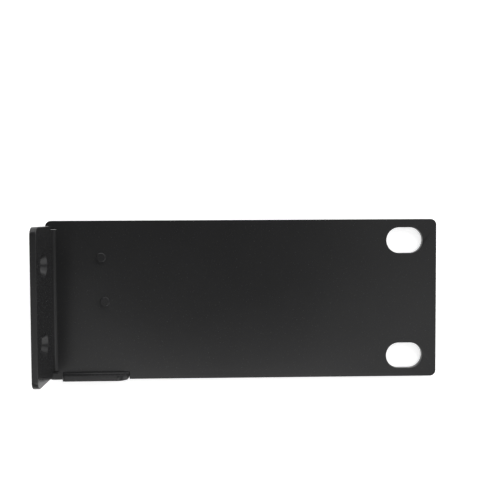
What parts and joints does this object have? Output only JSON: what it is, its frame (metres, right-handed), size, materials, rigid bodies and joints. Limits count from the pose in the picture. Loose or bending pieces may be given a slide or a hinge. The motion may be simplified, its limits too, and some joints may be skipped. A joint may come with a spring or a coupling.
{
  "type": "rack mount ear bracket",
  "caption": "Folded sheet steel rack ear: a flat plate with open slots for the rack rail at one end and a drilled, countersunk flange for the device at the other.",
  "frame": {"origin": "middle of the overall box in X and Y, on the plate's outer face", "axes": "+X along the plate from the flange to the slotted end, +Y across the plate away from the edge tab, +Z the way the flange and the tab are folded"},
  "size_m": [0.1064, 0.0432, 0.0175],
  "materials": {
    "black_powder_coat": "fine-textured semi-matt black powder coat on steel sheet"
  },
  "bodies": {
    "root": {"ear_bracket": "black_powder_coat"}
  },
  "joints": []
}
